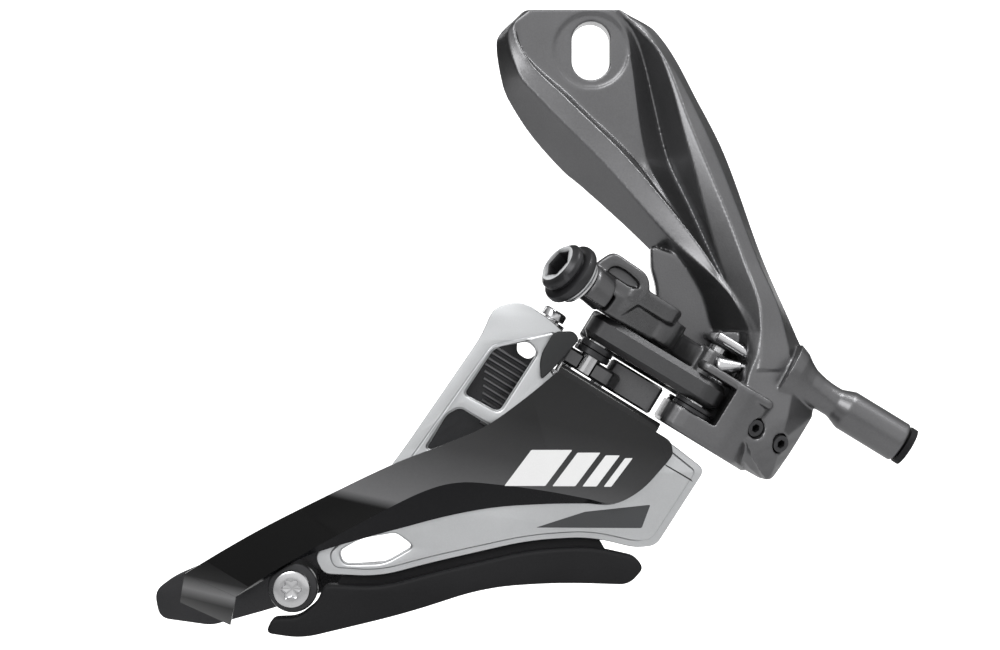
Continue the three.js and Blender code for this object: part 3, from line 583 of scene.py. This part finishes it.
def along_line(knots, z):
    """The [x, y] of a line at a height, on a smooth curve that never overshoots its knots."""
    at = 0
    while at < len(knots) - 2 and z < knots[at + 1][0]:
        at += 1
    values = []
    for k in (1, 2):
        def slope(i):
            if i == 0 or i == len(knots) - 1:
                j = max(0, min(i, len(knots) - 2))
                return (knots[j + 1][k] - knots[j][k]) / (knots[j + 1][0] - knots[j][0])
            before = (knots[i][k] - knots[i - 1][k]) / (knots[i][0] - knots[i - 1][0])
            after = (knots[i + 1][k] - knots[i][k]) / (knots[i + 1][0] - knots[i][0])
            return 0 if before * after <= 0 else 2 * before * after / (before + after)
        z0, z1 = knots[at][0], knots[at + 1][0]
        span = z1 - z0
        t = (z - z0) / span
        values.append((2 * t ** 3 - 3 * t ** 2 + 1) * knots[at][k]
                      + (t ** 3 - 2 * t ** 2 + t) * span * slope(at)
                      + (3 * t ** 2 - 2 * t ** 3) * knots[at + 1][k]
                      + (t ** 3 - t ** 2) * span * slope(at + 1))
    return values


def arm_ring(z):
    back = along_line(ARM_BACK, z)[0]
    front = [along_line(line, z) for line in ARM_LINES]
    ring = [[front[0][0] + 0.8, back], *front, [front[-1][0] - 0.8, back]]
    return [Vector((x, y, z)) for x, y in ring]


def capped_loft(rings):
    """A closed solid over rings with the same number of points."""
    work = bmesh.new()
    verts = [[work.verts.new(p * MM) for p in ring] for ring in rings]
    for upper, lower in zip(verts, verts[1:]):
        for i in range(len(upper)):
            j = (i + 1) % len(upper)
            work.faces.new((upper[i], upper[j], lower[j], lower[i]))
    work.faces.new(verts[0])
    work.faces.new(list(reversed(verts[-1])))
    bmesh.ops.triangulate(work, faces=[f for f in work.faces if len(f.verts) > 4])
    return finished(work, "loft")


def carved(mesh, *cutters):
    """A mesh with the cutter meshes taken out of it."""
    obj = bpy.data.objects.new("carved", mesh)
    bpy.context.scene.collection.objects.link(obj)
    tools = []
    for cutter in cutters:
        tool = bpy.data.objects.new("cutter", cutter)
        bpy.context.scene.collection.objects.link(tool)
        change = obj.modifiers.new("cut", "BOOLEAN")
        change.operation = "DIFFERENCE"
        change.solver = "EXACT"
        change.object = tool
        tools.append(tool)
    result = baked(obj)
    for tool in tools:
        bpy.data.objects.remove(tool)
    return result


def clipped(node, height):
    """A copy of a CAD node's mesh below a height, closed by a flat face."""
    work = bmesh.new()
    work.from_mesh(frame["nodes"][node].data)
    bmesh.ops.remove_doubles(work, verts=work.verts, dist=WELD)
    cut = bmesh.ops.bisect_plane(work, geom=[*work.verts, *work.edges, *work.faces],
                                 plane_co=(0, 0, height * MM), plane_no=(0, 0, 1),
                                 clear_outer=True)
    rim = [e for e in cut["geom_cut"] if isinstance(e, bmesh.types.BMEdge)]
    bmesh.ops.holes_fill(work, edges=rim)
    return finished(work, "clipped")


def bracket():
    """The smooth arm, the web behind the links and the CAD fork, fused into one forging."""
    drop = ARM_FOOT - ARM_OVERLAP - ARM_TOP
    rings = [arm_ring(ARM_TOP + drop * k / ARM_RINGS) for k in range(ARM_RINGS + 1)]
    slot = []
    for end, turn in ((1, 0), (-1, math.pi)):
        for k in range(17):
            angle = turn + math.pi * k / 16
            slot.append((SLOT_WIDTH / 2 * math.cos(angle), end * (SLOT_LENGTH - SLOT_WIDTH) / 2
                         + SLOT_WIDTH / 2 * math.sin(angle)))
    hole = plate_mesh(slot, [], -20, 5, 0.01, 0)
    spot = spun_mesh([(0, 0), (SPOT_FACE, 0), (SPOT_FACE, 9), (0, 9)], (0, -14.7, 0), (0, 1, 0))
    arm = carved(capped_loft(rings), hole, spot)
    web = plate_mesh(rounded(WEB_OUTLINE), [], WEB_FRONT, WEB_BACK, 0.5)
    fork = clipped("mount_bracket", ARM_FOOT + FORK_OVERLAP)
    forged("bracket_forging", joined(arm, web, fork), "mount_bracket", voxel=0.27,
           iterations=3, sharp=180)


bracket()


# ---------- links ----------
def link_plate_mesh(outline, low, high, bevel, rings):
    """A flat piece in the linkage's own axes, from an outline in u and v."""
    flat = plate_mesh(outline, [], low, high, bevel, rings)
    for vertex in flat.vertices:
        x, y, z = vertex.co / MM
        vertex.co = linkage(x, z, y) * MM
    face_outward(flat)
    return flat


def outer_link():
    start = Vector((0, OUTER_V))
    end = Vector((REAR_U, OUTER_V + LINK_OFFSET))
    lean = math.atan2(end.y - start.y, end.x - start.x)
    outline = []
    for centre, turn in ((end, lean - math.pi / 2), (start, lean + math.pi / 2)):
        for k in range(33):
            angle = turn + math.pi * k / 32
            outline.append(centre + Vector((math.cos(angle), math.sin(angle))) * EYE_RADIUS)
    mesh = link_plate_mesh(outline, -LINK_HALF, LINK_HALF, 1.1, 0)
    add_piece("outer_link_forging", mesh, "outer_link", look=LINK_ALLOY, sharp=25)


outer_link()
forged("inner_link_forging", frame["nodes"]["inner_link"].data.copy(), "inner_link",
       voxel=0.24, iterations=4, sharp=80)


# ---------- cable anchor ----------
def cable_anchor():
    face = linkage(-35.1, -34, 5.9)
    way = -linkage_way(-0.887, -0.45, 0.118)
    bare_depth = 0.14              # the end face of the head is bare metal
    head = [(0, 2.4), (2.6, 2.4, "hex"), (2.7, 0.5, "hex"), (2.9, 0.15, "hex"), (3.15, 0),
            (3.75, 0), (4.0, 0.3)]
    shank = [(4.35, 0.55), (4.7, 0.9), (4.75, 1.0), (4.75, 1.75), (4.6, 1.95), (4.3, 2.0),
             (4.3, 2.45), (5.3, 2.6), (5.75, 2.85), (5.9, 3.2), (5.9, 4.0), (5.75, 4.35),
             (5.4, 4.5), (2.3, 4.5), (2.3, 11.6), (1.7, 12.4), (0, 12.4)]
    bolt = spun_mesh(head + shank, face, way, 96)
    add_piece("anchor_bolt_turned", bolt, "anchor_bolt", sharp=35)
    bolt.materials.append(LOOKS["silver_alloy"])
    for polygon in bolt.polygons:
        depth = (Vector(polygon.center) / MM - face).dot(way.normalized())
        if depth < bare_depth:
            polygon.material_index = 1
    teeth = [(2.6, 5.6), (4.3, 5.6), (4.5, 5.75), (4.5, 6.1), (2.6, 6.1)]
    add_piece("anchor_clamp_turned", spun_mesh(teeth, face, way, 60), "anchor_clamp_plate")
    washer = [(2.6, 4.8), (4.7, 4.8), (4.9, 4.95), (4.9, 5.2), (4.75, 5.3), (2.6, 5.3)]
    add_piece("anchor_washer_turned", spun_mesh(washer, face, way, 72), "anchor_washer")


cable_anchor()


# ---------- cable guide ----------
def cable_guide():
    bore = 0.65
    tube = [(bore, 0.15), (0.78, 0), (0.92, 0.02), (1, 0.12), (1, 15.3), (bore, 15.3)]
    add_piece("guide_tube_rolled", spun_on_linkage(tube, -2.3, CABLE_V, CABLE_W, (1, 0, 0), 48),
              "cable_guide_tube")
    nose = [(0, 0), (0.5, 0), (0.5, 1), (0.9, 1.2), (1.93, 4.9), (1.98, 5.2), (1.9, 5.5),
            (1.6, 5.85), (1.0, 6.1), (0.5, 6.2), (0, 6.2)]
    add_piece("guide_nose_turned", spun_mesh(nose, (28.2, -23.7, -61.5), (-1, 0, 0), 64),
              "guide_nose")


cable_guide()


# ---------- black frame plate ----------
STATIONS = [
    # upper edge, crease, lower edge
    ((-75.6, -99.3), (-66.3, -103.5), (-66.2, -103.6)),
    ((-68.0, -94.7), (-61.0, -99.9), (-60.7, -100.3)),
    ((-60.1, -90.3), (-53.0, -95.2), (-53.9, -96.4)),
    ((-48.5, -84.5), (-43.0, -89.8), (-45.0, -93.5)),
    ((-37.1, -79.1), (-32.5, -84.5), (-35.5, -90.9)),
    ((-27.0, -75.2), (-25.5, -82.6), (-27.0, -88.7)),
    ((-20.0, -72.0), (-17.8, -83.0), (-18.5, -87.2)),
    ((-13.0, -67.0), (-9.0, -84.2), (-9.2, -86.6)),
]


def smooth_line(points, steps):
    """A Catmull-Rom curve through points, with a number of steps between each two."""
    spots = [Vector(p) for p in points]
    spots = [spots[0] * 2 - spots[1], *spots, spots[-1] * 2 - spots[-2]]
    line = []
    for i in range(1, len(spots) - 2):
        p0, p1, p2, p3 = spots[i - 1:i + 3]
        for k in range(steps):
            t = k / steps
            line.append(0.5 * (2 * p1 + (p2 - p0) * t + (2 * p0 - 5 * p1 + 4 * p2 - p3) * t * t
                               + (3 * p1 - p0 - 3 * p2 + p3) * t ** 3))
    line.append(spots[-2])
    return line


FLANGE_BEND = 1.7                  # outer radius of the bend into the flange
FLANGE_INBOARD = -14.8
FLANGE_FRONT = -3.4
FLANGE_REAR = -24.6
FLANGE_FLAT = -22                  # v where the bend's flat has begun


def frame_lines(rim):
    """The upper edge, crease and lower edge of the plate, from its tail to its front."""
    front = [
        ((rim[0].x, rim[0].z), (-2.0, -85.5), (-2.0, -86.5)),
        ((rim[1].x, rim[1].z), (3.2, -86.4), (3.2, -86.6)),
        ((rim[2].x, rim[2].z), (8.2, -83.8), (8.3, -83.9)),
        ((rim[3].x, rim[3].z), (12.9, -78.8), (13.0, -78.9)),
    ]
    steps = 6
    tail = [smooth_line([s[i] for s in STATIONS + front[:1]], steps) for i in range(3)]
    nose = [smooth_line([s[i] for s in front], steps) for i in range(3)]
    return [a[:-1] + b for a, b in zip(tail, nose)]


def frame_body(lines):
    """The plate itself: two faces that meet at the crease, over a flat back."""
    back = FRAME_Y + PLATE
    depths = (FRAME_Y, FRAME_Y, FRAME_Y + 0.95)
    face = [[(p.x, y, p.y) for p in line] for line, y in zip(lines, depths)]
    rear = [[(p.x, back, p.y) for p in line] for line in (lines[2], lines[0])]
    return grid_mesh([*face, *rear], closed=True)


def frame_corner(rim):
    """The rounded front corner."""
    corner = rounded([[12.9, -78.8, 0], [13.95, -77.4, 1.2], [13.6, -75.0, 1.2],
                      [rim[3].x, rim[3].z, 0]], 5)
    corner = corner[:-1]
    return plate_mesh([Vector(p) for p in corner] + [Vector((rim[3].x, rim[3].z))], [],
                      FRAME_Y, FRAME_Y + PLATE, 0.02, 0)


def frame_flange():
    """The flange that is folded inboard to bridge the cage."""
    inner_bend = FLANGE_BEND - PLATE
    angles = [math.pi / 2 * k / 8 for k in range(9)]
    outer = [(FRAME_Y + FLANGE_BEND * (1 - math.cos(a)),
              FLANGE_W - FLANGE_BEND * (1 - math.sin(a))) for a in angles]
    outer += [(FLANGE_FLAT, FLANGE_W), (FLANGE_INBOARD, FLANGE_W)]
    inner = [(FLANGE_INBOARD, FLANGE_W - PLATE), (FLANGE_FLAT, FLANGE_W - PLATE)]
    inner += [(FRAME_Y + PLATE + inner_bend * (1 - math.cos(a)),
               FLANGE_W - PLATE - inner_bend * (1 - math.sin(a))) for a in reversed(angles)]
    rows = []
    for p in [Vector(point) for point in outer + inner]:
        share = max(0.0, (p.x + 29) / 14)
        right = FLANGE_FRONT - 7.5 * share
        rows.append([linkage(FLANGE_REAR + (right - FLANGE_REAR) * k / 4, p.x, p.y)
                     for k in range(5)])
    return grid_mesh(rows, closed=True)


def frame_fold():
    """The tail's end, bent inboard and down."""
    rows = []
    for k in range(11):
        t = k / 10
        row = []
        for p in (Vector((-75.6, FRAME_Y, -99.3)), Vector((-66.25, FRAME_Y, -103.55))):
            knee = p + Vector((-0.5, 0, -2.6))
            end = p + Vector((-1.6, 4.8, -5.9))
            row.append(p * (1 - t) ** 2 + knee * 2 * t * (1 - t) + end * t * t)
        rows.append(row)
    inner_rows = []
    for i, row in enumerate(rows):
        t = i / 10
        inner_rows.append([p + Vector((0.2 * t, PLATE * (1 - t) + 0.7 * t, 1.1 * t))
                           for p in row])
    return grid_mesh([*rows, *reversed(inner_rows)], closed=True)


def frame_plate():
    stops = (FLANGE_REAR, -17, -9.5, FLANGE_FRONT)
    rim = [linkage(u, FRAME_Y, FLANGE_W - FLANGE_BEND) for u in stops]
    lines = frame_lines(rim)
    parts = joined(frame_body(lines), frame_corner(rim), frame_flange(), frame_fold())
    obj = add_piece("frame_plate_pressed", parts, "outer_frame_plate", sharp=25)
    parts.materials.append(UNDERSIDE_SHADE_PAINT)
    parts.materials.append(FOLD_HIGHLIGHT_PAINT)
    crease = lines[1]
    for polygon in parts.polygons:
        x, y, z = Vector(polygon.center) / MM
        near = min(crease, key=lambda p: abs(p.x - x))
        # the lower band below the crease is painted darker as shade
        if y < FRAME_Y + PLATE and polygon.normal.y < 0 and z < near.y:
            polygon.material_index = 1
        # the tail fold takes the light grey with the painted highlight
        if x < -66 and z < -99.5 and near.x <= crease[0].x + 0.01:
            polygon.material_index = 2
    soften(obj, 0.12, 2, 40)


frame_plate()


# ---------- silver guide plate ----------
GUIDE_OUTLINE = [[-13.6, -49.3, 2], [-19, -50.3, 2.5], [-21.3, -55.8, 3], [-37.4, -79.2, 6],
                 [-52, -96.4, 1.5], [-50.4, -99.6, 1.5], [-40, -100.1, 4], [-30.7, -97.6, 8],
                 [-12.3, -93.4, 8], [-1.2, -92.8, 4], [7.2, -94.8, 2], [11, -94.4, 1.5],
                 [20, -80.4, 1.5], [13.9, -75.6, 2], [10.9, -73.8, 1], [-8.7, -62, 1],
                 [-5.6, -55.6, 1.5], [-8.4, -52.8, 1.5]]
RAISED_OUTLINE = [[-7.4, -54.6, 1.2], [-19.8, -57.4, 1.2], [-37.0, -81.5, 6], [-49.6, -95.9, 1.5],
                  [-48.6, -98.6, 1.5], [-40, -99.2, 4], [-31, -96.7, 8], [-12.3, -92.6, 8],
                  [-1.2, -91.9, 4], [7.2, -93.8, 2], [10.4, -93.2, 1.2], [18.6, -80.6, 1.2],
                  [13.9, -76.8, 2], [10.9, -74.6, 1], [-8.3, -62.4, 1]]
WINDOWS = [
    [[-12.6, -56.7, 1.2], [-18.8, -57.9, 1.5], [-24.4, -66.4, 1], [-18, -69.7, 1.2],
     [-10.9, -58.6, 1.4]],
    [[-25.2, -68.9, 1], [-27.6, -70.2, 1], [-31.4, -76.6, 1], [-22.4, -76.6, 2],
     [-18.6, -73, 1.5]],
    [[-47.4, -95.4, 1], [-43.6, -93.1, 2], [-37, -92, 1], [-33.8, -94.4, 1.2],
     [-39.2, -97.5, 2], [-46.6, -97.6, 1]],
]


def guide_plate():
    holes = [rounded(w) for w in WINDOWS]
    base = plate_mesh(rounded(GUIDE_OUTLINE), holes, GUIDE_Y + 0.55, GUIDE_Y + PLATE, 0.2)
    raised = plate_mesh(rounded(RAISED_OUTLINE), holes, GUIDE_Y, GUIDE_Y + PLATE - 0.1, 0.5, 3,
                        0.15)
    add_piece("guide_plate_pressed", joined(base, raised), "outer_guide_plate", sharp=25)


guide_plate()


# ---------- skid plate ----------
SKID_OUTLINE = [[-61, -110.4, 1.5], [-59.7, -107.6, 1], [-55, -107.4, 1.5], [-51.4, -104.6, 2],
                [-50.2, -101.4, 1.5], [-39.6, -101.9, 5], [-30.5, -99.4, 8], [-12.2, -95.1, 8],
                [-1, -94.5, 4], [7, -96.3, 2], [8.7, -98.4, 1.5], [6, -101.5, 2],
                [-6.8, -101.1, 6], [-20.5, -102, 8], [-35.1, -106.8, 8], [-54.3, -111.4, 5]]

TONGUE_OUTLINE = [[-49, -104, 1], [-47, -99.4, 2], [-38.8, -99.6, 3], [-30.2, -97.2, 8],
                  [-12, -92.9, 8], [0, -92.3, 2], [3, -97.6, 1], [-20, -99, 8], [-34, -103, 6]]


def skid_plate():
    pad = plate_mesh(rounded(SKID_OUTLINE), [], GUIDE_Y - 0.9, GUIDE_Y + 3.2, 0.75, 3)
    back = plate_mesh(rounded(TONGUE_OUTLINE), [], GUIDE_Y + PLATE + 0.3, GUIDE_Y + 3.2, 0.3, 2)
    add_piece("skid_plate_moulded", joined(pad, back), "skid_plate", sharp=30)


skid_plate()


# ---------- lug beside the frame plate ----------
LUG_OUTLINE = [[-7.9, -54.9, 1.2], [-4.3, -54.8, 1.4], [-3.2, -56.3, 1], [-6.9, -60.6, 1],
               [-10.3, -63.9, 1], [-10.6, -59.6, 2]]


def plate_lug():
    mesh = plate_mesh(rounded(LUG_OUTLINE), [], FRAME_Y, FRAME_Y + PLATE, 0.35, 3)
    add_piece("plate_lug_moulded", mesh, "plate_lug", sharp=40)


plate_lug()


# ---------- tail screw ----------
def tail_point(y):
    return Vector((TAIL_X, y, TAIL_Z))


def tail_screw():
    top = -31.2
    head = [(0, 1.5), (1.05, 1.4, "lobes"), (1.5, 1.3, "lobes"), (1.62, 0.12, "lobes"),
            (1.72, 0, "lobes"), (2.0, 0), (3.1, 0), (3.3, 0.12), (3.4, 0.35), (3.4, 1.4),
            (2.9, 2), (1.7, 2.2), (1.7, 12), (0, 12)]
    add_piece("tail_screw_turned", spun_mesh(head, tail_point(top), (0, 1, 0), 96), "tail_screw")
    boss = [(2.0, 0), (4.1, 0), (4.45, 0.15), (4.6, 0.5), (4.6, 1.7), (3.6, 2.2), (3.6, 14.2),
            (2.0, 14.2)]
    add_piece("tail_spacer_turned", spun_mesh(boss, tail_point(-28.7), (0, 1, 0), 72),
              "tail_spacer")


tail_screw()


# ---------- bridge screw and rear washers ----------
def bridge_screw():
    head = [(0, 6.0), (0.35, 6.0), (1.2, 6.55), (1.25, 6.9), (1.9, 6.9), (2.15, 6.75), (2.3, 6.5),
            (2.3, 5.3), (2.2, 5.2), (1.5, 5.2), (1.5, 0), (0, 0)]
    add_piece("bridge_screw_turned", spun_on_linkage(head, -30.4, -22.4, -8.2), "bridge_screw")
    washer = [(1.8, 0), (2.8, 0), (2.9, 0.1), (2.9, 0.7), (2.8, 0.8), (1.8, 0.8)]
    add_piece("bridge_washer_turned", spun_on_linkage(washer, -30.4, -22.4, -4.1),
              "bridge_washer")


bridge_screw()


def pivot_washer(node, v, outer, low, high, u):
    middle = (low + high) / 2
    profile = [(2.3, low), (outer - 0.2, low), (outer, low + 0.15), (outer, middle - 0.12),
               (outer - 0.3, middle), (outer, middle + 0.12), (outer, high - 0.15),
               (outer - 0.2, high), (2.3, high)]
    add_piece(node + "_turned", spun_on_linkage(profile, u, v, 0), node)


pivot_washer("outer_rear_washer", OUTER_V + LINK_OFFSET, 3.3, -5.3, -2.8, REAR_U)
pivot_washer("inner_rear_washer", INNER_V + LINK_OFFSET, 3.3, -5.3, -3.3, REAR_U)
pivot_washer("outer_front_washer", OUTER_V, 3.8, -4.5, -2.8, 0)
pivot_washer("inner_front_washer", INNER_V, 3.8, -4.5, -3.3, 0)


# ---------- inner guide plate ----------
INNER_OUTLINE = [[-12.4, -52.4, 1.5], [-18.6, -54, 2], [-36, -81.4, 5], [-62, -94, 5],
                 [-80, -101.6, 2], [-84, -104.6, 2], [-83, -109.8, 2], [-73, -111.2, 1.5],
                 [-61.5, -108, 3], [-40, -101, 8], [-20, -95.5, 8], [-4, -94.5, 6],
                 [8.6, -95.4, 4], [18.4, -81, 4], [11.2, -73.9, 1], [-8.7, -61.9, 1],
                 [-5.8, -56.8, 1]]
INNER_WINDOWS = [
    [[-52, -96.8, 1], [-45, -92, 2], [-36, -91, 1], [-31, -94, 1.2], [-38, -98.8, 2],
     [-49, -99.6, 1]],
    [[-14.4, -56, 1], [-10.8, -56, 1], [-9.6, -58.4, 1], [-12.4, -60.4, 1], [-14.6, -59, 1]],
]
RIB_COUNT = 12
RIB_PITCH = 1.24


def rib(u_from, u_to, w, height=0.55, half=0.28):
    """A low rounded ridge along the cable line on the outboard face of the inner plate."""
    section = [(half, 0.15), (half, -height * 0.6), (half * 0.5, -height), (-half * 0.5, -height),
               (-half, -height * 0.6), (-half, 0.15)]
    rows = []
    for du, dy in section:
        rows.append([linkage(u_from, INNER_Y + dy, w + du), linkage(u_to, INNER_Y + dy, w + du)])
    return grid_mesh(rows, closed=True)


def inner_plate():
    face = plate_mesh(rounded(INNER_OUTLINE), [rounded(w) for w in INNER_WINDOWS], INNER_Y,
                      INNER_Y + PLATE, 0.3)
    ribs = [rib(-38.5 + 0.62 * k, -26.8 + 0.25 * k, -13.2 - RIB_PITCH * k)
            for k in range(RIB_COUNT)]
    edge = GUIDE_Y + PLATE + 0.3
    corners = [(-34.4, edge), (-27.2, edge), (-26.4, INNER_Y + 0.4), (-34.2, INNER_Y + 0.4)]
    rows = [[linkage(u, v, w) for w in (-5.9, -4.4)] for u, v in corners]
    bridge = grid_mesh(rows, closed=True)
    add_piece("inner_plate_pressed", joined(face, bridge), "inner_guide_plate", sharp=30)
    add_piece("inner_plate_ribs", joined(*ribs), "inner_guide_plate", look=RIB_EDGE,
              replaces=False, sharp=30)


inner_plate()


# ---------- marks on the cage ----------
def decal(name, corners, outboard, node, look):
    mesh = plate_mesh(rounded(corners, 3), [], outboard, outboard + 0.06, 0.01, 0)
    add_piece(name, mesh, node, look=look, replaces=False)


def stripes():
    """Plain slanted bars on the black frame plate."""
    for k, (left, width) in enumerate([(-17, 7.5), (-8.2, 4.2), (-2.7, 2.6), (1.2, 1.4)]):
        low = -83.2 - 0.05 * k
        high = -76.6 - 0.5 * k
        lean = (high - low) * 0.75
        decal(f"frame_stripe_{k + 1}",
              [[left, low, 0.2], [left + width, low, 0.2], [left + width + lean, high, 0.2],
               [left + lean, high, 0.2]],
              FRAME_Y - 0.04, "outer_frame_plate", WHITE_INK)


stripes()
decal("guide_patch", [[-11.2, -91.0, 0.3], [-2.2, -88.1, 0.3], [9.9, -86.8, 0.3],
                      [8.3, -91.1, 0.3]], GUIDE_Y - 0.04, "outer_guide_plate", GREY_INK)
# a thin dark strip on the silver plate where a groove runs: painted shade standing in for the
# groove
decal("guide_groove_painted_shade", [[12.4, -79.2, 0], [12.8, -79.7, 0], [17.7, -82.6, 0], [17.4, -82.1, 0]],
      GUIDE_Y - 0.04, "outer_guide_plate", LOOKS["gloss_black"])


# ---------- CAD nodes that stay ----------
def finish_nodes():
    for node, obj in frame["nodes"].items():
        if obj.hide_render:
            continue
        obj.data.materials.clear()
        obj.data.materials.append(LOOKS[slot_of(node)])
        tidy = obj.modifiers.new("flat", "DECIMATE")
        tidy.decimate_type = "DISSOLVE"
        tidy.angle_limit = math.radians(3)
        soften(obj, 0.15, 2, 35)


finish_nodes()
